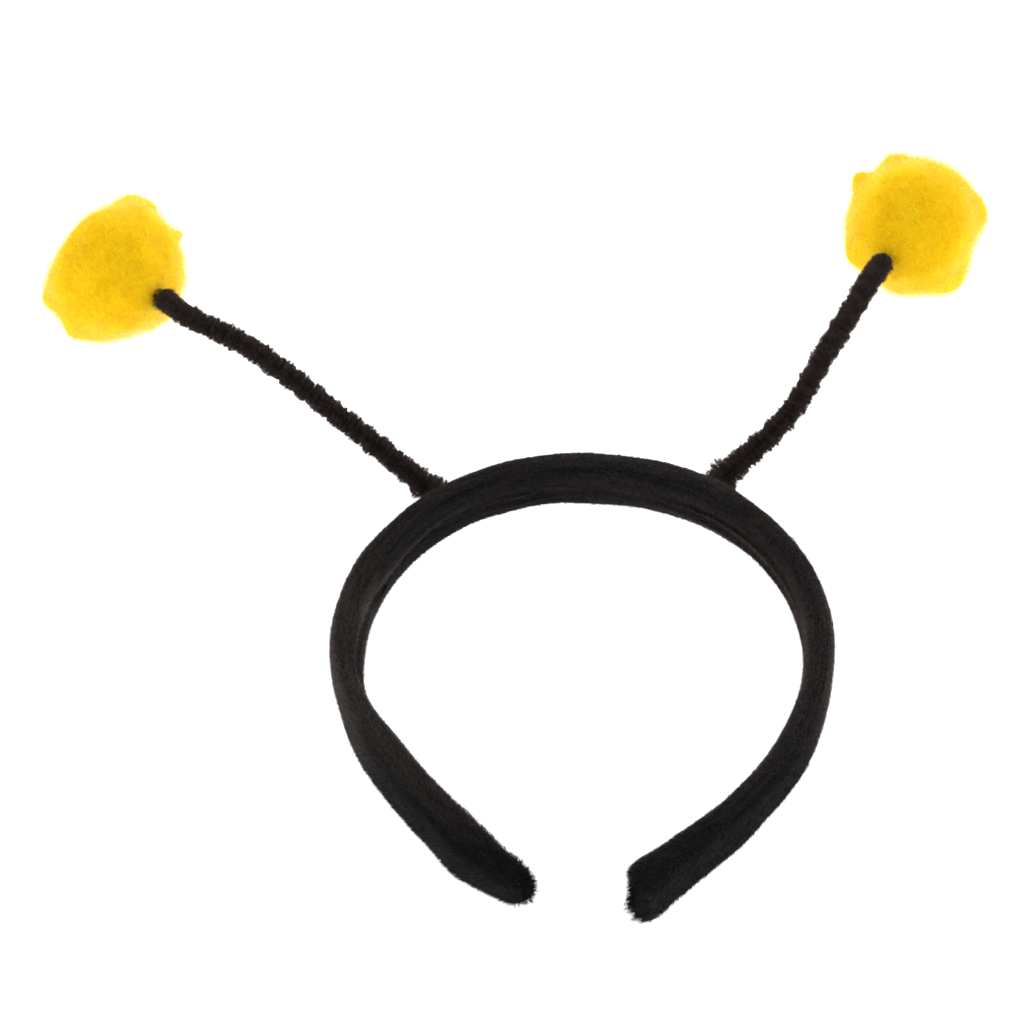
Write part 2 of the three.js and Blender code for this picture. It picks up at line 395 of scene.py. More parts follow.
# By turn from the crown in degrees: height above the middle in mm, share of the depth, share of the lips,
# half width of a lip in mm, and the painted light on the pile under the seam, painted shade where below 0
SEAM = {
    -108: (5.0, 0.0, 0.0, 0.9, -0.15),
    -98: (6.4, 0.4, 1.0, 1.2, -0.15),
    -85: (5.6, 0.7, 1.0, 1.4, -0.1),
    -62: (1.0, 1.0, 1.0, 1.6, -0.1),
    -48: (0.8, 0.6, 0.5, 0.9, -0.1),
    -40: (0.2, 0.05, 0.05, 0.7, -0.1),
    -30: (-1.0, 0.0, 0.05, 0.7, 0.0),
    -18: (-2.0, 0.1, 0.6, 0.6, 0.0),
    0: (-0.6, 0.05, 0.2, 0.6, 0.0),
    14: (-0.6, 0.1, 0.4, 0.6, 0.2),
    30: (-1.8, 0.12, 1.0, 0.5, 0.5),
    60: (-2.6, 0.12, 1.0, 0.5, 0.5),
    80: (-2.3, 0.05, 0.2, 0.6, -0.1),
    95: (-2.0, 0.0, 0.0, 0.6, -0.2),
}
# By turn from the crown in degrees: how far the outer face stands out or in, in mm
OUTER_SHIFT = {
    -169: -0.9, -162: -0.8, -152: 0.7, -143: -0.5, -134: -0.3, -120: 0.1, -105: -0.2, -60: 0.1,
    0: 0.6, 45: 0.2, 90: -0.3, 125: 0.0, 140: 0.4, 160: 0.3, 170: 1.3,
}
print(f"seam: {len(SEAM)} rows from {min(SEAM)} to {max(SEAM)} degrees")

# %% Places on the hoop
RADIUS_STEPS = 90
RADIUS_STEPS_LEFT_OUT = 5
RADIUS_BLEND = 2
HEIGHT_STEPS = 70
EDGE_PRESS = 0.6 * MM


def hoop_place(points):
    """For each point: turn from the crown, distance from the centre, and unit vectors out and around."""
    away = points[:, :2] - HOOP_CENTRE
    radius = np.linalg.norm(away, axis=1)
    turn = np.arctan2(away[:, 0], away[:, 1])
    flat = np.zeros(len(points))
    outward = np.stack([away[:, 0] / radius, away[:, 1] / radius, flat], axis=1)
    around = np.stack([outward[:, 1], -outward[:, 0], flat], axis=1)
    return turn, radius, outward, around


def middle_radius(turn, radius):
    """The band's middle distance from the hoop's centre at each turn, and how fast it changes there."""
    steps = np.linspace(turn.min(), turn.max(), RADIUS_STEPS)
    steps = steps[RADIUS_STEPS_LEFT_OUT:-RADIUS_STEPS_LEFT_OUT]
    near = [np.abs(turn - at) <= steps[1] - steps[0] for at in steps]
    middles = np.array([(radius[close].min() + radius[close].max()) / 2 for close in near])
    middles = running_mean(np.pad(middles, RADIUS_BLEND, mode="edge"), 2 * RADIUS_BLEND + 1)
    return np.interp(turn, steps, middles), np.interp(turn, steps, np.gradient(middles, steps))


def middle_height(points, turn):
    """Half the band's own height at each point's turn."""
    steps = np.linspace(turn.min(), turn.max(), HEIGHT_STEPS)
    step = steps[1] - steps[0]
    tops = np.array([points[np.abs(turn - at) <= step, 2].max() for at in steps])
    return (np.interp(turn, steps, tops) - EDGE_PRESS) / 2


def by_turn(degrees, table):
    """The values at each turn, between the rows of a table."""
    return np.interp(degrees, list(table), list(table.values()))


sleeve_mesh = with_modifier(merged_copy("plush_band", True), "SUBSURF", levels=2, render_levels=2)
sleeve_points = points_of(sleeve_mesh)
sleeve_normals = normals_of(sleeve_mesh)
turn, radius, outward, around = hoop_place(sleeve_points)
degrees = np.degrees(turn)
middle, drift = middle_radius(turn, radius)
along = around * middle[:, None] + outward * drift[:, None]
along /= np.linalg.norm(along, axis=1)[:, None]
from_first = (turn - turn.min()) * radius
from_last = (turn.max() - turn) * radius
above_middle = sleeve_points[:, 2] - middle_height(sleeve_points, turn)
facing_out = dot(sleeve_normals, outward)
facing_on = dot(sleeve_normals, along)
print(f"hoop: from {degrees.min():.0f} to {degrees.max():.0f} degrees")

# %% Sleeve of the band
inner_face = ramp(-facing_out, steepness=2, start=0.4)
outer_face = ramp(facing_out, steepness=1, start=-0.3)
seam_columns = [by_turn(degrees, dict(zip(SEAM, column))) for column in zip(*SEAM.values())]
seam_height, seam_depth, lip_share, lip_half, under_seam_painted_light = seam_columns
above_seam = above_middle - seam_height * MM
seam_share = inner_face * np.clip(from_first / TIP_REACH - 1, 0, 1)
recess = hump(above_seam, SEAM_HALF_WIDTH) * seam_depth
lips = hump(np.abs(above_seam) - SEAM_HALF_WIDTH - lip_half * MM, lip_half * MM) * lip_share
seam_shape = LIP_RISE * lips + GROOVE_FILL * hump(above_middle, GROOVE_HALF_WIDTH) - SEAM_SINK * recess
near_tip = np.clip(1 - np.minimum(from_first, from_last) / TIP_REACH, 0, 1)
wave = smooth_bumps(sleeve_points, SLEEVE_WAVE_SIZE, seed=4) * SLEEVE_WAVE * (1 - near_tip)
moved = sleeve_points + sleeve_normals * (wave - PILE_DEPTH + seam_shape * seam_share)[:, None]
moved += outward * (by_turn(degrees, OUTER_SHIFT) * MM * outer_face)[:, None]

spoke = outward * (radius - middle)[:, None] + UP * above_middle[:, None]
facing_in = -dot(sleeve_normals, spoke) / MM
in_pocket = np.clip(facing_in + np.clip(facing_on, 0, 1) - POCKET_START, 0, 1)
in_pocket *= np.clip((from_last - CUT_REACH / 2) / CUT_REACH, 0, 1) * (from_last < TIP_REACH)
moved += along * (in_pocket * POCKET_FILL)[:, None]
moved[:, 2] = np.maximum(moved[:, 2], SLEEVE_CLEARANCE)
set_points(sleeve_mesh, moved)
print(f"sleeve: {triangle_count(sleeve_mesh)} triangles")

# %% [markdown]
# The pile lies one way along the whole strip: away from the closed left tip, over the crown and out past
# the cut right tip. It isn't the same all over. It is short in the seam, sleek over the crown and brushed
# up towards the tips, which hands touch most. A few tufts stand up where the photograph shows them: each
# is named by the pixel it is seen at and grows from the point of the sleeve that the camera sees there.
# Light and shade are painted into the pile's tone: painted light over the rounded arms, on the seam's
# upper lip and in a strip under the seam on the right, and painted shade at the tips, in the recess, on the
# inner face and down the outside of the lower arms.

# %% Tufts of the pile
# Each tuft has the pixel it is seen at, its reach in mm and how much longer its pile is
TUFTS = {
    "left tip, lower corner": ((534, 902), 1.6, 0.9),
    "left tip, upper corner": ((522, 866), 1.5, 0.4),
    "right tip, lowest lobe": ((640, 920), 1.6, 0.6),
    "right tip, side lobe": ((630, 908), 1.6, 0.9),
    "right arm, outside": ((809, 767), 1.0, 0.7),
    "right shoulder, outside": ((794, 538), 0.9, 0.7),
    "right stem, beside its root": ((740, 501), 2.5, 0.3),
    "left arm, outside": ((447, 868), 2.0, 0.3),
}
LEAST_IN_SIGHT = -0.2


def seen_at(points):
    """The pixel at which the camera sees each point."""
    spokes = points - np.array(camera.location)
    far = -(spokes @ np.array(backwards)) * HALF_VIEW / HALF_PICTURE
    across = spokes[:, 0] / far
    up = spokes @ np.array(upwards) / far
    return np.stack([HALF_PICTURE + across, HALF_PICTURE - up], axis=1)


tufts = np.zeros(len(moved))
sleeve_pixels = seen_at(moved)
in_sight = sleeve_normals @ np.array(backwards) > LEAST_IN_SIGHT
for tuft_pixel, reach, longer in TUFTS.values():
    apart = np.linalg.norm(sleeve_pixels - tuft_pixel, axis=1)
    root = moved[np.argmin(np.where(in_sight, apart, np.inf))]
    tufts += longer * hump(np.linalg.norm(moved - root, axis=1), reach * MM)
print(f"tufts: {len(TUFTS)}, up to {tufts.max():.2f} longer")

# %% Lie of the pile
LEAN_USUAL = 1.15
LEAN_BY_FACING = 1.3
LEAN_LEAST = 0.12
TIP_SWEEP = (0.55, -0.15, 0.5)
SEAM_PILE = 0.5
CUT_PILE = -0.2
FUZZ_PILE = 0.4
TUFT_RUFFLE = 0.7
# By turn from the crown in degrees: how far the pile is brushed up
BRUSHED = {-168: 0.9, -145: 0.65, -110: 0.35, -70: 0.15, 60: 0.1, 120: 0.2, 155: 0.3, 166: 0.55, 170: 0.7}

lean = np.clip(LEAN_USUAL + facing_on * LEAN_BY_FACING, LEAN_LEAST, 1.0)
on_end = ramp(-facing_on, steepness=1.5, start=0.3) * np.clip(1 - from_first / TIP_REACH, 0, 1)
brushed = by_turn(degrees, BRUSHED)
pile = 1 - (1 - SEAM_PILE) * recess * seam_share
pile += CUT_PILE * np.clip(1 - from_last / CUT_REACH, 0, 1) + tufts
pile += FUZZ_PILE * brushed**2
store(sleeve_mesh, "comb", along * lean[:, None] + np.array(TIP_SWEEP) * on_end[:, None])
store(sleeve_mesh, "pile", pile)
store(sleeve_mesh, "ruffle", brushed + np.minimum(tufts, TUFT_RUFFLE))
lock_place = np.stack([turn * HOOP_RADIUS, radius - middle, sleeve_points[:, 2]], axis=1)
store(sleeve_mesh, "lock_place", lock_place)
print(f"pile: {pile.min():.2f} to {pile.max():.2f} of its usual length")

# %% Painted light and shade of the pile
# By turn from the crown in degrees: how much light is painted onto the pile, painted shade where below 0
PAINTED_LIGHT_AND_SHADE = {
    -168: -0.7, -150: -0.1, -115: 0.5, -85: 0.42, -60: -0.1, -45: -0.2, 0: -0.05,
    45: 0.0, 60: 0.05, 85: 0.36, 115: 0.15, 145: -0.35, 165: -0.8,
}
# Painted light on the seam's upper lip, painted shade in the recess and over the inner face, painted shade
# down the outside of the lower arms and a painted highlight along their ridge
LIP_PAINTED_LIGHT = 1.0
RECESS_PAINTED_SHADE = 0.8
INNER_PAINTED_SHADE = 0.15
LOWER_ARM_TURNS = (100, 130)
OUTER_PAINTED_SHADE = 0.9
RIDGE_FACING = 0.45
RIDGE_HALF_WIDTH = 0.25
RIDGE_PAINTED_LIGHT = 0.15

# Painted light and shade by turn, and a painted highlight on the seam's upper lip
lighter = by_turn(degrees, PAINTED_LIGHT_AND_SHADE) + LIP_PAINTED_LIGHT * lips * seam_share * (above_seam > 0)
# Painted shade in the seam's recess and over the inner face
lighter -= (RECESS_PAINTED_SHADE * recess + INNER_PAINTED_SHADE) * seam_share
# Painted light in the strip under the seam
lighter += under_seam_painted_light * seam_share * (above_seam < 0)
lower_arm = np.clip((np.abs(degrees) - LOWER_ARM_TURNS[0]) / np.ptp(LOWER_ARM_TURNS), 0, 1)
# Painted shade down the outside of the lower arms
lighter -= OUTER_PAINTED_SHADE * lower_arm * ramp(facing_out, steepness=2, start=RIDGE_FACING)
on_ridge = hump(facing_out - RIDGE_FACING, RIDGE_HALF_WIDTH) * (sleeve_normals[:, 2] > 0)
# A painted highlight along the ridge of the lower arms
lighter += RIDGE_PAINTED_LIGHT * lower_arm * on_ridge
store(sleeve_mesh, "lighter", lighter)
sleeve = link_piece("band_sleeve", sleeve_mesh)
print(f"tone: {lighter.min():.2f} to {lighter.max():.2f} lighter than usual")

# %% [markdown]
# One fibre is a thin ribbon of a few triangles. A needle of the nap is a single triangle, because it is
# only about half a pixel wide in the picture. A blade of the undercoat has a bend half way, a chenille
# bristle is cut off square, and a fleece fibre curls. A few shapes of each are enough, because every copy
# also gets its own length, roll and lean. The fibre's map runs from root to end, so that a finish can
# darken the roots.

# %% Fibre shapes


def fibre_mesh(name, rows):
    """A ribbon along +Z. Rows from root to end: height, bend, sideways and half width, 0 for a point."""
    points = []
    sides = []
    row_points = []
    for height, bend, sideways, half in rows:
        offsets = (-half, half) if half else (0,)
        row_points.append(range(len(points), len(points) + len(offsets)))
        points += [(sideways + offset, bend, height) for offset in offsets]
        sides += (0, 1) if half else (0.5,)
    faces = [(*reversed(lower), *upper) for lower, upper in zip(row_points, row_points[1:])]
    mesh = bpy.data.meshes.new(name)
    mesh.from_pydata(points, [], faces, shade_flat=False)
    strand_map = mesh.uv_layers.new(name="strand")
    for loop in mesh.loops:
        strand_map.uv[loop.index].vector = (sides[loop.vertex_index], points[loop.vertex_index][2])
    return mesh


def fibre_set(name, row_lists):
    """A collection of fibre shapes for a tree to pick from."""
    group = bpy.data.collections.new(name)
    for number, rows in enumerate(row_lists):
        shape = bpy.data.objects.new(f"{name}_{number}", fibre_mesh(f"{name}_{number}", rows))
        group.objects.link(shape)
    return group


ROOT_POINT = (0, 0, 0, 0)
ROOT_CUT = (0, 0, 0, 0.5)
BENDS = (-0.2, -0.1, -0.04, 0.05)
SWAYS = (-0.25, -0.1, 0.08, 0.22)
needles = fibre_set("needle", [[ROOT_CUT, (1, bend, 0, 0)] for bend in BENDS])
blades = fibre_set(
    "blade", [[ROOT_POINT, (0.42, bend * 0.2, 0, 0.5), (1, bend, 0.06, 0)] for bend in BENDS]
)
bristles = fibre_set("bristle", [[ROOT_CUT, (1, bend * 0.5, bend, 0.4)] for bend in BENDS])
curls = fibre_set(
    "curl",
    [
        [ROOT_POINT, (0.3, 0.1, sway, 0.5), (0.68, 0.36, sway * 2, 0.42), (0.9, 0.74, sway * 1.5, 0)]
        for sway in SWAYS
    ],
)
print("fibre shapes: needles, blades, bristles and curls")

# %% [markdown]
# The pile tree strews points over a backing and leans a fibre from each one along the stored comb
# direction, lifted off the surface. A slow noise bends neighbours the same way, so the coat falls into
# locks, and it also trims and shades them. A spread raises some of the points off the backing, for a coat
# that thins out gently. A floor step presses down whatever would reach below the table. A particle system
# could grow hair too, but this tree has named inputs, gives the same coat on every run and serves the
# plush, the chenille and the fleece alike.

# %% Direction and size of a fibre
PILE_INPUTS = {
    "Fibres": "Collection",
    "Finish": "Material",
    "Density": "Float",
    "Length": "Float",
    "Width": "Float",
    "Lift": "Float",
    "Lock Rate": "Vector",
    "Lock Bend": "Float",
    "Lock Trim": "Float",
    "Lock Tone": "Float",
    "Stray": "Float",
    "Roll": "Float",
    "Shortest": "Float",
    "Spread": "Float",
    "Seed": "Int",
}
SEEDS = {"stray": 11, "roll": 12, "length": 13, "width": 14, "shape": 15, "tone": 16, "rise": 17}
EACH_WAY = ((-1, -1, -1), (1, 1, 1))
SLEEK_LIFT = 0.5
SLEEK_BEND = 0.3
SLEEK_STRAY = 0.3
NOISE_MIDDLE = 0.5
LOCK_MIDDLE = 0.62
LOCK_GAP = 0.36
WIDTH_SHARES = (0.7, 1.2)


def fibre_direction(bench, given, normal, lock):
    """Where each fibre points: along the comb, lifted, bent with its lock and a little astray."""
    ruffle = bench.named("ruffle")
    lift = bench.math("MULTIPLY", given["Lift"], bench.math("ADD", ruffle, SLEEK_LIFT))
    lifted = bench.vector("ADD", bench.named("comb", "FLOAT_VECTOR"), bench.scaled(normal, lift))
    lock_bend = bench.vector("SUBTRACT", bench.out(lock, "Color"), (NOISE_MIDDLE,) * 3)
    lock_share = bench.math("MULTIPLY", given["Lock Bend"], bench.math("ADD", ruffle, SLEEK_BEND))
    locked = bench.vector("ADD", lifted, bench.scaled(lock_bend, lock_share))
    stray = bench.random(*EACH_WAY, SEEDS["stray"], "FLOAT_VECTOR")
    stray_share = bench.math("MULTIPLY", given["Stray"], bench.math("ADD", ruffle, SLEEK_STRAY))
    return bench.vector("ADD", locked, bench.scaled(stray, stray_share))


def fibre_size(bench, given, lock):
    """Width and length of each fibre, shorter where the backing says so and between the locks."""
    between = bench.add(
        "ShaderNodeMapRange",
        {"Value": bench.out(lock, "Fac"), "From Min": LOCK_MIDDLE, "From Max": LOCK_GAP},
    )
    trimmed = bench.math("MULTIPLY", given["Lock Trim"], between.outputs["Result"])
    pile = bench.math("MULTIPLY", bench.named("pile"), bench.math("SUBTRACT", 1.0, trimmed))
    long_share = bench.math("MULTIPLY", bench.random(given["Shortest"], 1.0, SEEDS["length"]), pile)
    length = bench.math("MULTIPLY", long_share, given["Length"])
    width = bench.math("MULTIPLY", bench.random(*WIDTH_SHARES, SEEDS["width"]), given["Width"])
    return bench.out(bench.add("ShaderNodeCombineXYZ", {"X": width, "Y": length, "Z": length}))


print(f"pile inputs: {len(PILE_INPUTS)}")

# %% Pile tree
FLOOR_CLEARANCE = 0.06 * MM
SHAPE_PICKS = (0, 15)
TONE_SHARES = (0.4, 0.6)
SPREAD_POWER = 2.0


def pressed_to_floor(bench, fibres):
    """Fibre points that would be under the table, moved up to it."""
    here = bench.add("ShaderNodeSeparateXYZ", {0: bench.out(bench.add("GeometryNodeInputPosition"))})
    height = bench.math("MAXIMUM", here.outputs["Z"], FLOOR_CLEARANCE)
    place = bench.add("ShaderNodeCombineXYZ", {"X": here.outputs["X"], "Y": here.outputs["Y"], "Z": height})
    pressed = bench.add("GeometryNodeSetPosition", {"Geometry": fibres, "Position": bench.out(place)})
    return bench.out(pressed)


def strewn_points(bench, given):
    """Points over the backing, raised by a share of the spread, and the backing's normal at each."""
    strewn = bench.add(
        "GeometryNodeDistributePointsOnFaces",
        {"Mesh": given["Geometry"], "Density": given["Density"], "Seed": given["Seed"]},
        distribute_method="RANDOM",
    )
    normal = bench.out(strewn, "Normal")
    share = bench.math("POWER", bench.random(0.0, 1.0, SEEDS["rise"]), SPREAD_POWER)
    rise = bench.math("MULTIPLY", share, given["Spread"])
    raised = bench.add(
        "GeometryNodeSetPosition",
        {"Geometry": bench.out(strewn, "Points"), "Offset": bench.scaled(normal, rise)},
    )
    return bench.out(raised), normal


def lock_noise(bench, given):
    """The slow noise that gathers neighbouring fibres into locks."""
    backing_place = bench.named("lock_place", "FLOAT_VECTOR")
    place = bench.vector("MULTIPLY", backing_place, given["Lock Rate"])
    feeds = {"Vector": place, "Scale": 1.0, "Detail": 1.5, "Roughness": 0.55}
    return bench.add("ShaderNodeTexNoise", feeds)


def planted_fibres(bench, given, points, normal, lock):
    """A fibre on each point, picked from the shapes, turned and sized."""
    roll = bench.scaled(bench.random(*EACH_WAY, SEEDS["roll"], "FLOAT_VECTOR"), given["Roll"])
    turned = bench.add(
        "FunctionNodeAxesToRotation",
        {
            "Primary Axis": fibre_direction(bench, given, normal, lock),
            "Secondary Axis": bench.vector("ADD", normal, roll),
        },
        primary_axis="Z",
        secondary_axis="Y",
    )
    shapes = bench.add(
        "GeometryNodeCollectionInfo",
        {"Collection": given["Fibres"], "Separate Children": True, "Reset Children": True},
    )
    planted = bench.add(
        "GeometryNodeInstanceOnPoints",
        {
            "Points": points,
            "Instance": bench.out(shapes),
            "Pick Instance": True,
            "Instance Index": bench.random(*SHAPE_PICKS, SEEDS["shape"], "INT"),
            "Rotation": bench.out(turned),
            "Scale": fibre_size(bench, given, lock),
        },
    )
    return bench.out(planted)


def make_pile_tree():
    """The tree that grows a coat of fibres on a backing."""
    bench, entry, result = geometry_tree("pile", PILE_INPUTS)
    given = entry.outputs
    points, normal = strewn_points(bench, given)
    lock = lock_noise(bench, given)
    planted = planted_fibres(bench, given, points, normal, lock)
    lock_height = bench.math("SUBTRACT", bench.out(lock, "Fac"), NOISE_MIDDLE)
    own_tone = bench.random(*TONE_SHARES, SEEDS["tone"])
    lock_tone = bench.math("MULTIPLY_ADD", lock_height, given["Lock Tone"], own_tone)
    # The tone takes in the backing's 'lighter' values: painted light and shade on the band, and on the
    # fleece a random mottle with a painted shade on the left pompom
    tone = bench.math("MAXIMUM", bench.math("ADD", lock_tone, bench.named("lighter")), 0.0)
    toned = bench.add(
        "GeometryNodeStoreNamedAttribute",
        {"Geometry": planted, "Name": "tone", "Value": tone},
        data_type="FLOAT",
        domain="INSTANCE",
    )
    real = bench.add("GeometryNodeRealizeInstances", {"Geometry": bench.out(toned)})
    finished = bench.add(
        "GeometryNodeSetMaterial",
        {"Geometry": pressed_to_floor(bench, bench.out(real)), "Material": given["Finish"]},
    )
    bench.feed(result.inputs["Geometry"], bench.out(finished))
    return bench.tree


pile_tree = make_pile_tree()
print(f"pile tree: {len(pile_tree.nodes)} nodes")

# %% Growing a piece
PILE_ENTRIES = [item for item in pile_tree.interface.items_tree if item.in_out == "INPUT"]


def grow(name, backing, **values):
    """A piece of fibres grown from a backing's mesh by the pile tree, as a plain mesh."""
    grower = link_piece(name + "_grower", backing)
    modifier = grower.modifiers.new("grow", "NODES")
    modifier.node_group = pile_tree
    sockets = {item.name: item.identifier for item in PILE_ENTRIES}
    for label, value in values.items():
        modifier[sockets[label.replace("_", " ")]] = value
    mesh = evaluated_mesh(grower)
    mesh.name = name
    bpy.data.objects.remove(grower)
    piece = link_piece(name, mesh)
    print(f"{name}: {triangle_count(mesh)} triangles")
    return piece


print(f"growing: {len(PILE_ENTRIES)} sockets to set")

# %% [markdown]
# Fibre finishes share one recipe. Each fibre has its own tone between a dark and a light colour, whole
# locks are a little lighter or darker, and the tone also takes in the painted light and shade stored on the
# backing. The roots are painted darker, as shade. A share of the light also passes through each fibre, by a
# Translucent shader whose colour follows the same tone: dyed black plush lets a little brown through at
# its rims, and yellow fleece glows. Fleece also gets a pale sheen where the felt under the fibres turns
# away from the eye. Layer Weight gives that, from the felt's own normal, which each fibre keeps. A
# backing's finish is a matt mottle with a fine bump.

# %% Recipe for fibre finishes
SHEEN_POWER = 2.5
SHEEN_SHARE = 2.0
SHEEN_THROUGH = 0.5


def under_sheen(bench, fibre, pale):
    """A fibre's shader under a pale sheen that shows where the felt turns away from the eye."""
    felt = bench.add("ShaderNodeAttribute", attribute_name="felt_normal", attribute_type="GEOMETRY")
    grazing = bench.add("ShaderNodeLayerWeight", {"Blend": 0.5, "Normal": felt.outputs["Vector"]})
    turned_away = bench.math("POWER", grazing.outputs["Facing"], SHEEN_POWER)
    share = bench.math("MULTIPLY", turned_away, SHEEN_SHARE)
    front = bench.add("ShaderNodeBsdfDiffuse", {"Color": (*pale, 1)})
    back = bench.add("ShaderNodeBsdfTranslucent", {"Color": (*pale, 1)})
    sheen = bench.add("ShaderNodeMixShader", {0: SHEEN_THROUGH, 1: front.outputs[0], 2: back.outputs[0]})
    return bench.add("ShaderNodeMixShader", {0: share, 1: fibre.outputs[0], 2: sheen.outputs[0]})


def fibre_finish(name, colours, root_share, through, through_colours, shader_values, sheen=None):
    """A finish for fibres: dark to light by tone, painted shade at the root, and a little see-through."""
    finish, bench, shader = new_finish(name, shader_values)
    tone = bench.add("ShaderNodeAttribute", attribute_name="tone", attribute_type="GEOMETRY")
    colour, through_colour = (
        bench.add(
            "ShaderNodeMix",
            {"Factor": tone.outputs["Fac"], "A": (*dark, 1), "B": (*light, 1)},
            data_type="RGBA",
            clamp_factor=False,
        )
        for dark, light in (colours, through_colours)
    )
    strand = bench.add("ShaderNodeUVMap", uv_map="strand")
    height = bench.add("ShaderNodeSeparateXYZ", {0: strand.outputs["UV"]})
    # Painted shade: the colour darkens towards the root, down to the root share at the root itself
    shade = bench.math("MULTIPLY_ADD", height.outputs["Y"], 1 - root_share, root_share)
    bench.feed(shader.inputs["Base Color"], bench.scaled(bench.out(colour, "Result"), shade))
    glow = bench.add("ShaderNodeBsdfTranslucent", {"Color": bench.out(through_colour, "Result")})
    both = bench.add("ShaderNodeMixShader", {0: through, 1: shader.outputs[0], 2: glow.outputs[0]})
    if sheen:
        both = under_sheen(bench, both, sheen)
    bench.feed(finish.node_tree.nodes["Material Output"].inputs["Surface"], both.outputs[0])
    print("fibre finish:", name)
    return finish


print(f"sheen: power {SHEEN_POWER}, share {SHEEN_SHARE}")

# %% Recipe for cloth finishes
BUMP_STRENGTH = 0.5
BUMP_SHARE = 1 / 3


def cloth_finish(name, colours, grain, shader_values):
    """A finish for a backing: a fine mottle between two colours, with a matching bump."""
    finish, bench, shader = new_finish(name, shader_values)
    place = bench.add("ShaderNodeTexCoord")
    mottle = bench.add(
        "ShaderNodeTexNoise",
        {"Vector": place.outputs["Object"], "Scale": 1 / grain, "Detail": 3.0, "Roughness": 0.6},
    )
    dark, light = colours
    colour = bench.add(
        "ShaderNodeMix",
        {"Factor": bench.out(mottle, "Fac"), "A": (*dark, 1), "B": (*light, 1)},
        data_type="RGBA",
    )
    bench.feed(shader.inputs["Base Color"], bench.out(colour, "Result"))
    bump = bench.add(
        "ShaderNodeBump",
        {"Height": bench.out(mottle, "Fac"), "Strength": BUMP_STRENGTH, "Distance": grain * BUMP_SHARE},
    )
    bench.feed(shader.inputs["Normal"], bump.outputs["Normal"])
    print("cloth finish:", name)
    return finish


print(f"cloth bump: strength {BUMP_STRENGTH}")

# %% [markdown]
# The coat of the band is grown in three layers. The undercoat is short, dense and stands up, so no fabric
# shows. The nap is longer and combed flat along the hoop, which gives the streaks. A fine down stands
# upright through both and lightens the rims, where many of its hairs are seen behind each other. A low
# specular level keeps the white tent from greying the black.

# %% Finishes of the plush
PLUSH_SHADER = {"Roughness": 0.55, "Specular IOR Level": 0.14, "Sheen Weight": 0.04, "Sheen Roughness": 0.4}

plush_pile = fibre_finish(
    "black plush pile",
    colours=((0.0031, 0.0029, 0.0026), (0.0264, 0.0235, 0.0220)),
    root_share=0.4,
    through=0.12,
    through_colours=((0.008, 0.006, 0.0055), (0.13, 0.092, 0.083)),
    shader_values=PLUSH_SHADER,
)
plush_down = fibre_finish(
    "black plush down",
    colours=((0.008, 0.0076, 0.0072), (0.050, 0.0465, 0.0445)),
    root_share=0.5,
    through=0.3,
    through_colours=((0.04, 0.031, 0.029), (0.26, 0.185, 0.170)),
    shader_values=PLUSH_SHADER,
)
plush_cloth = cloth_finish(
    "black plush cloth",
    colours=((0.0018, 0.0015, 0.0015), (0.0045, 0.004, 0.0038)),
    grain=0.7 * MM,
    shader_values={"Roughness": 0.9, "Specular IOR Level": 0.08},
)
sleeve_mesh.materials.append(plush_cloth)

# %% Undercoat, nap and down of the band
LOCK_LENGTH = 14 * MM
LOCK_WIDTH = 1.4 * MM
BAND_LOCK_RATE = (1 / LOCK_LENGTH, 1 / LOCK_WIDTH, 1 / LOCK_WIDTH)

undercoat = grow(
    "band_undercoat", sleeve_mesh, Fibres=blades, Finish=plush_pile, Density=2.4e6,
    Length=1.4 * MM, Width=0.2 * MM, Lift=0.8, Lock_Rate=BAND_LOCK_RATE, Lock_Bend=0.8, Lock_Trim=0.2,
    Lock_Tone=1.3, Stray=0.5, Roll=0.8, Shortest=0.6, Seed=3,
)
nap = grow(
    "band_nap", sleeve_mesh, Fibres=needles, Finish=plush_pile, Density=12e6,
    Length=3.2 * MM, Width=0.12 * MM, Lift=0.16, Lock_Rate=BAND_LOCK_RATE, Lock_Bend=0.7, Lock_Trim=0.25,
    Lock_Tone=1.3, Stray=0.25, Roll=0.6, Shortest=0.5, Seed=8,
)
down = grow(
    "band_down", sleeve_mesh, Fibres=needles, Finish=plush_down, Density=8e6,
    Length=1.7 * MM, Width=0.065 * MM, Lift=3.0, Lock_Rate=BAND_LOCK_RATE, Lock_Bend=0.9, Lock_Trim=0.2,
    Lock_Tone=1.2, Stray=0.9, Roll=1.5, Shortest=0.5, Seed=10,
)

# %% [markdown]
# An antenna stem is a wire wound with chenille: a brush of short fibres that stand straight out and wind
# round the wire as one soft ridge. The solid already has that ridge, so its distance from the stem's
# middle line says how long the fibres are at each place. The core under them is a plain thin tube.
# Coordinates that wind with the ridge gather the bristles into fine tufts. The brush flares out where it
# enters the band, and is trimmed and tapered where it ends in its pompom.

# %% Middle line of a stem
STEM_SLICES = 48
LINE_BLEND = 5


def middle_line(points):
    """The middle of a thin piece, slice by slice from end to end."""
    centre = points.mean(axis=0)
    direction = np.linalg.svd(points - centre, full_matrices=False)[2][0]
    reach = (points - centre) @ direction
    slices = np.linspace(reach.min(), reach.max(), STEM_SLICES + 1)
    slice_number = np.clip(np.digitize(reach, slices) - 1, 0, STEM_SLICES - 1)
    middles = np.array([points[slice_number == number].mean(axis=0) for number in range(STEM_SLICES)])
    before = 2 * middles[0] - middles[2:0:-1]
    after = 2 * middles[-1] - middles[-2:-4:-1]
    return running_mean(np.vstack([before, middles, after]), LINE_BLEND)


def stem_line(side, points):
    """The middle line of one stem, from the band to its pompom."""
    line = middle_line(points)
    ball = np.array(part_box(f"pompom_{side}")).mean(axis=0)
    ends_far = np.linalg.norm(line[-1] - ball) > np.linalg.norm(line[0] - ball)
    return line[::-1] if ends_far else line


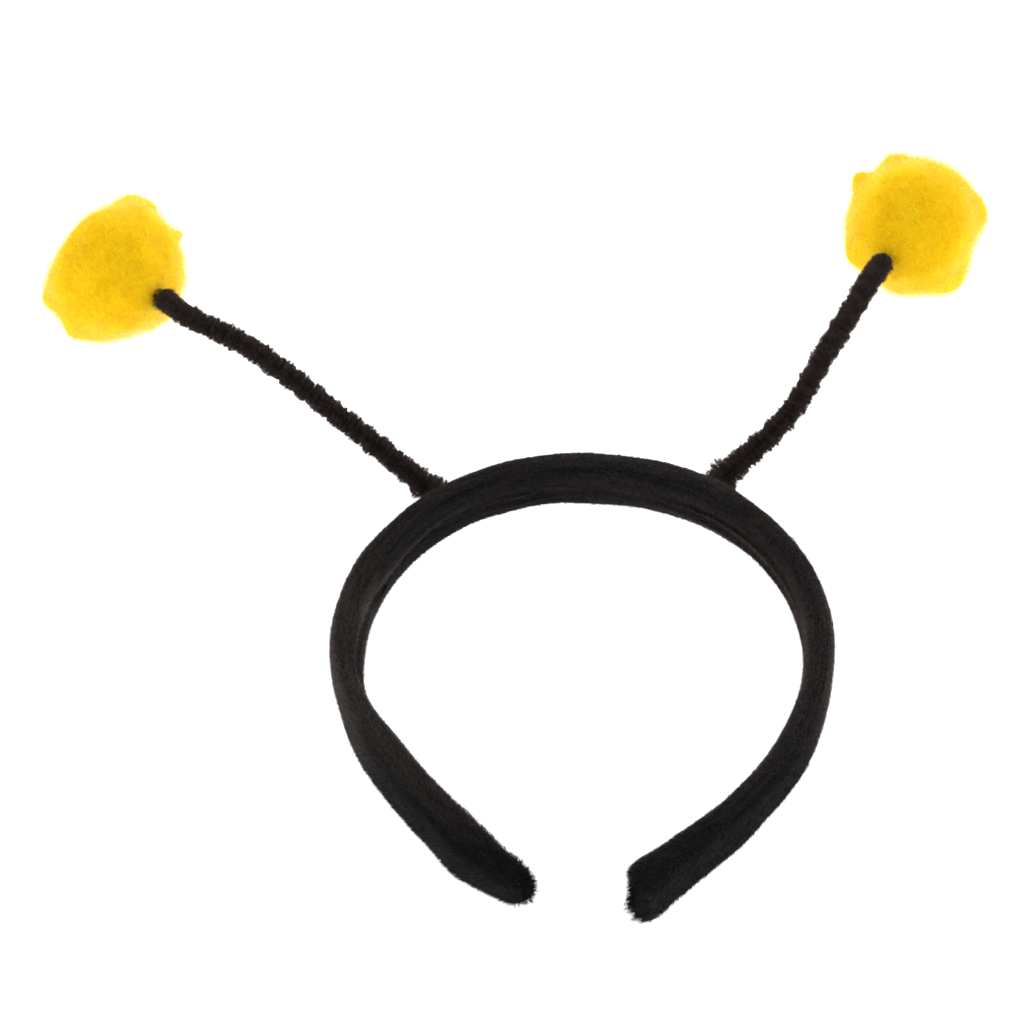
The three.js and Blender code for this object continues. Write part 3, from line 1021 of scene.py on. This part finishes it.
def nearest_on_line(points, line):
    """For each point, the nearest point of a line of short steps, its direction and its travel there."""
    best = np.full(len(points), np.inf)
    nearest = np.zeros_like(points)
    direction = np.zeros_like(points)
    travel = np.zeros(len(points))
    passed = 0.0
    for start, end in zip(line[:-1], line[1:]):
        step = end - start
        size = np.linalg.norm(step)
        share = np.clip((points - start) @ step / size**2, 0, 1)
        candidate = start + share[:, None] * step
        distance = np.linalg.norm(points - candidate, axis=1)
        closer = distance < best
        best[closer] = distance[closer]
        nearest[closer] = candidate[closer]
        direction[closer] = step / size
        travel[closer] = passed + share[closer] * size
        passed += size
    return nearest, direction, travel, passed


print(f"middle lines: {STEM_SLICES} slices each")

# %% Sizes and finishes of the chenille
STEM_CORE_RADIUS = 1.6 * MM
LEAST_REACH = 1e-9
STEM_RIDGE_SHARE = 0.5
STEM_BRUSH_LEAST = 0.4 * MM
STEM_COMB = 0.1
STEM_LUMP = 0.12
STEM_LUMP_SIZE = 4.5 * MM
STEM_TOOTH = 0.1
STEM_TOOTH_SIZE = 1.8 * MM
STEM_TURN_PITCH = 6 * MM
STEM_END_TRIM = {"left": 2.6 * MM, "right": 3.8 * MM}
STEM_END_REACH = 8 * MM
STEM_END_TAPER = 1.2 * MM
STEM_END_SHARE = 0.35
STEM_ROOT_FLARE = {"left": 0.6, "right": 1.0}
STEM_ROOT_REACH = 10 * MM
STEM_LEAN = {"left": (0.3, 0.25, 0), "right": (0.4, 0, 0)}
BRISTLE_TUFT = 0.65 * MM
BRISTLE_TUFT_TURN = 1.6 * MM
BRISTLE_LOCK_RATE = (1 / BRISTLE_TUFT, 1 / BRISTLE_TUFT_TURN, 1 / BRISTLE_TUFT_TURN)
USUAL_RUFFLE = 0.5
CHENILLE_SHADER = {**PLUSH_SHADER, "Roughness": 0.6, "Specular IOR Level": 0.12}

chenille_pile = fibre_finish(
    "black chenille pile",
    colours=((0.0230, 0.0172, 0.0162), (0.0665, 0.0504, 0.0478)),
    root_share=0.85,
    through=0.2,
    through_colours=((0.03, 0.021, 0.0195), (0.16, 0.113, 0.104)),
    shader_values=CHENILLE_SHADER,
)
chenille_core = cloth_finish(
    "chenille core",
    colours=((0.022, 0.0168, 0.0158), (0.034, 0.026, 0.0245)),
    grain=0.5 * MM,
    shader_values={"Roughness": 0.9, "Specular IOR Level": 0.05},
)

# %% Chenille stems
stem_ends = {}


def wound_place(spoke, direction, travel):
    """Coordinates that wind round the stem: travel along it, and a place on a circle that turns with it."""
    sideways = np.cross(direction, UP)
    sideways /= np.linalg.norm(sideways, axis=1)[:, None]
    angle = np.arctan2(dot(spoke, np.cross(sideways, direction)), dot(spoke, sideways))
    angle += travel * (2 * math.pi / STEM_TURN_PITCH)
    return np.stack([travel, np.cos(angle) * STEM_CORE_RADIUS, np.sin(angle) * STEM_CORE_RADIUS], axis=1)


def chenille_stem(side):
    """The core of one stem and the chenille grown on it."""
    mesh = with_modifier(merged_copy(f"antenna_stem_{side}", True), "SUBSURF", levels=1, render_levels=1)
    points = points_of(mesh)
    line = stem_line(side, points)
    nearest, direction, travel, whole = nearest_on_line(points, line)
    spoke = points - nearest
    reach = np.linalg.norm(spoke, axis=1)
    core_reach = np.minimum(reach, STEM_CORE_RADIUS)
    into_end = np.clip((travel - whole + STEM_END_REACH) / STEM_END_REACH, 0, 1)
    trimmed = STEM_END_TRIM[side] * into_end * into_end * (3 - 2 * into_end)
    core_points = nearest + spoke * (core_reach / np.maximum(reach, LEAST_REACH))[:, None]
    lean = np.array(STEM_LEAN[side]) * MM * (1 - travel / whole)[:, None]
    set_points(mesh, core_points - direction * trimmed[:, None] + lean)

    usual = np.median(reach)
    softened = usual + (reach - usual) * STEM_RIDGE_SHARE
    brush = np.where(reach > STEM_CORE_RADIUS, softened, reach) - core_reach
    wound = wound_place(spoke, direction, travel)
    lumps = 1 + STEM_LUMP * smooth_bumps(wound, STEM_LUMP_SIZE, seed=21)
    lumps += STEM_TOOTH * smooth_bumps(wound, STEM_TOOTH_SIZE, seed=22)
    lumps *= 1 + STEM_ROOT_FLARE[side] * hump(travel, STEM_ROOT_REACH)
    lumps *= np.clip((whole - travel) / STEM_END_TAPER, STEM_END_SHARE, 1)
    store(mesh, "pile", np.maximum(brush, STEM_BRUSH_LEAST) / MM * lumps)
    store(mesh, "comb", direction * STEM_COMB)
    store(mesh, "ruffle", np.full(len(points), USUAL_RUFFLE))
    store(mesh, "lighter", np.zeros(len(points)))
    store(mesh, "lock_place", wound)
    mesh.materials.append(chenille_core)
    core = link_piece(f"chenille_core_{side}", mesh)
    pile = grow(
        f"chenille_pile_{side}", mesh, Fibres=bristles, Finish=chenille_pile, Density=48e6,
        Length=2.3 * MM, Width=0.095 * MM, Lift=1.0, Lock_Rate=BRISTLE_LOCK_RATE, Lock_Bend=0.5,
        Lock_Trim=0.55, Lock_Tone=0.7, Stray=0.15, Roll=3.0, Shortest=0.75, Seed=5,
    )
    backwards_at_end = -direction[np.argmax(travel)]
    stem_ends[side] = line[-1] + backwards_at_end * STEM_END_TRIM[side], backwards_at_end
    return core, pile


stem_pieces = {side: chenille_stem(side) for side in SIDES}

# %% [markdown]
# A fleece pompom is a ball of matted, curly fibres. The solid holds its lumps as separate locks, so a
# voxel Remesh and some smoothing melt them into one soft form first. Lobes and dents then bring it to the
# outline that the photograph shows, and a collar swells round the stem's end. Curls grow from it in every
# direction, bent together in small patches, and a finer, paler down is spread through a depth over them,
# so that the edge fades softly. Both let light through, so the rims glow over a white table.

# %% Finishes of the fleece
FLEECE_SHADER = {"Roughness": 0.9, "Specular IOR Level": 0.03}
FLEECE_SHEEN = (0.80, 0.74, 0.28)

fleece_pile = fibre_finish(
    "yellow fleece pile",
    colours=((0.78, 0.44, 0.003), (0.83, 0.655, 0.010)),
    root_share=0.94,
    through=0.45,
    through_colours=((0.85, 0.575, 0.006), (0.87, 0.72, 0.015)),
    shader_values=FLEECE_SHADER,
    sheen=FLEECE_SHEEN,
)
fleece_down = fibre_finish(
    "pale fleece down",
    colours=((0.83, 0.62, 0.02), (0.89, 0.73, 0.065)),
    root_share=0.95,
    through=0.5,
    through_colours=((0.85, 0.665, 0.025), (0.90, 0.75, 0.075)),
    shader_values=FLEECE_SHADER,
    sheen=FLEECE_SHEEN,
)
fleece_core = cloth_finish(
    "yellow fleece core",
    colours=((0.76, 0.46, 0.004), (0.81, 0.54, 0.007)),
    grain=0.9 * MM,
    shader_values={"Roughness": 0.95, "Specular IOR Level": 0.03},
)

# %% Lobes and swirl of the fleece
FLEECE_SWIRL = 7 * MM
SWIRL_SEEDS = (41, 42, 43)
SWIRL_LEAST = 0.2
# Each lobe has its angle round the outline and its half width in degrees, and its height in mm
FLEECE_LOBES = {
    "left": (
        (78, 14, 1.8), (61, 8, 1.3), (48, 6, 0.1), (29, 5, 2.2), (116, 15, -1.3),
        (155, 18, -2.0), (204, 13, 2.8), (220, 7, -1.2), (235, 12, 2.2), (282, 17, -2.2),
    ),
    "right": (
        (10, 15, 2.5), (48, 8, 0.6), (107, 14, 2.3), (126, 7, -0.7), (139, 9, 3.2), (180, 10, -0.5),
        (208, 14, 2.2), (258, 10, 0.6), (279, 11, -1.9), (305, 15, 2.3), (341, 13, -1.9),
    ),
}


def seen_direction(degrees):
    """The direction at an angle round the camera's view, 0 to the right and 90 up."""
    angle = math.radians(degrees)
    return np.array(Vector((math.cos(angle), 0, 0)) + upwards * math.sin(angle))


def lobes_at(side, points):
    """How far the lobes and dents of a pompom's outline lift each of its points."""
    low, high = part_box(f"pompom_{side}")
    spokes = points - (np.array(low) + np.array(high)) / 2
    spokes /= np.linalg.norm(spokes, axis=1)[:, None]
    rise = np.zeros(len(points))
    for lobe_angle, half_width, height in FLEECE_LOBES[side]:
        apart = np.degrees(np.arccos(np.clip(spokes @ seen_direction(lobe_angle), -1, 1)))
        rise += hump(apart, half_width) * height * MM
    return rise


def fleece_swirl(points, normals):
    """A slow field of directions that lie in the surface, the way matted fleece swirls."""
    swirl = np.stack([smooth_bumps(points, FLEECE_SWIRL, seed) for seed in SWIRL_SEEDS], axis=1)
    swirl -= normals * dot(swirl, normals)[:, None]
    return swirl / np.maximum(np.linalg.norm(swirl, axis=1), SWIRL_LEAST)[:, None]


print("lobes and dents:", {side: len(lobes) for side, lobes in FLEECE_LOBES.items()})

# %% Fleece pompoms
FLEECE_VOXEL = 0.9 * MM
FLEECE_SMOOTHING = 180
FLEECE_SPREAD = 1.7 * MM
FLEECE_LUMPS = ((9 * MM, 0.2 * MM), (3.5 * MM, 0.06 * MM))
FLEECE_CLEARANCE = 0.3 * MM
FLEECE_PATCH = 1.4 * MM
PATCH_RATE = (1 / FLEECE_PATCH,) * 3
FLEECE_MOTTLE = 5 * MM
MOTTLE_SHARE = 0.55
# Tone shift of each pompom's fibres: painted shade, a little darker on the left pompom
FLEECE_PAINTED_SHADE = {"left": -0.1, "right": 0.0}
SWIRL_SHARE = 0.5
COLLAR_REACH = 4.5 * MM
COLLAR_RISE = 2.2 * MM
COLLAR_PILE = 0.3


def fleece_form(side):
    """The matted core of one pompom, with what its fibres need stored on its points."""
    copy = merged_copy(f"pompom_{side}", False)
    mesh = with_modifier(copy, "REMESH", mode="VOXEL", voxel_size=FLEECE_VOXEL)
    mesh = with_modifier(mesh, "SMOOTH", factor=0.5, iterations=FLEECE_SMOOTHING)
    points = points_of(mesh)
    normals = normals_of(mesh)
    stem_end, stem_out = stem_ends[side]
    collar = hump(np.linalg.norm(points - stem_end, axis=1), COLLAR_REACH)
    rise = sum(height * smooth_bumps(points, size, seed=31) for size, height in FLEECE_LUMPS)
    rise += lobes_at(side, points) + COLLAR_RISE * collar
    points = points + normals * rise[:, None]
    points[:, 2] = np.maximum(points[:, 2], FLEECE_CLEARANCE)
    set_points(mesh, points)
    mesh.materials.append(fleece_core)
    mesh.shade_smooth()
    store(mesh, "pile", 1 + COLLAR_PILE * collar)
    store(mesh, "comb", fleece_swirl(points, normals) * SWIRL_SHARE + stem_out * collar[:, None])
    store(mesh, "ruffle", np.full(len(points), USUAL_RUFFLE))
    mottle = smooth_bumps(points, FLEECE_MOTTLE, seed=33) * MOTTLE_SHARE
    # A random mottle in the fleece's tone, and painted shade on the left pompom
    store(mesh, "lighter", mottle + FLEECE_PAINTED_SHADE[side])
    store(mesh, "lock_place", points)
    store(mesh, "felt_normal", normals_of(mesh))
    return mesh


def fleece_pompom(side):
    """The matted core of one pompom, and the curls and down grown on it."""
    mesh = fleece_form(side)
    core = link_piece(f"fleece_core_{side}", mesh)
    print(f"fleece_core_{side}: {triangle_count(mesh)} triangles")
    pile = grow(
        f"fleece_pile_{side}", mesh, Fibres=curls, Finish=fleece_pile, Density=5e6,
        Length=2.3 * MM, Width=0.1 * MM, Lift=0.25, Lock_Rate=PATCH_RATE, Lock_Bend=1.2,
        Lock_Trim=0.2, Lock_Tone=1.3, Stray=1.2, Roll=3.0, Shortest=0.5, Seed=6,
    )
    down = grow(
        f"fleece_down_{side}", mesh, Fibres=curls, Finish=fleece_down, Density=5.5e6,
        Length=2.4 * MM, Width=0.035 * MM, Lift=0.2, Lock_Rate=PATCH_RATE, Lock_Bend=1.2,
        Lock_Trim=0.0, Lock_Tone=1.0, Stray=1.2, Roll=3.0, Shortest=0.5, Spread=FLEECE_SPREAD, Seed=7,
    )
    return core, pile, down


pompom_pieces = {side: fleece_pompom(side) for side in SIDES}

# %% [markdown]
# Every piece rides on the one body of the headband. The backing of each soft piece takes the place of its
# solid, which is hidden.

# %% Bodies and hidden solids
dressed = [("plush_band", "black_plush", (sleeve, undercoat, nap, down))]
for side in SIDES:
    dressed.append((f"antenna_stem_{side}", "black_chenille", stem_pieces[side]))
    dressed.append((f"pompom_{side}", "yellow_fleece", pompom_pieces[side]))
for node_name, slot_name, pieces in dressed:
    for piece in pieces:
        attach(piece, "root")
    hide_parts(node_name)
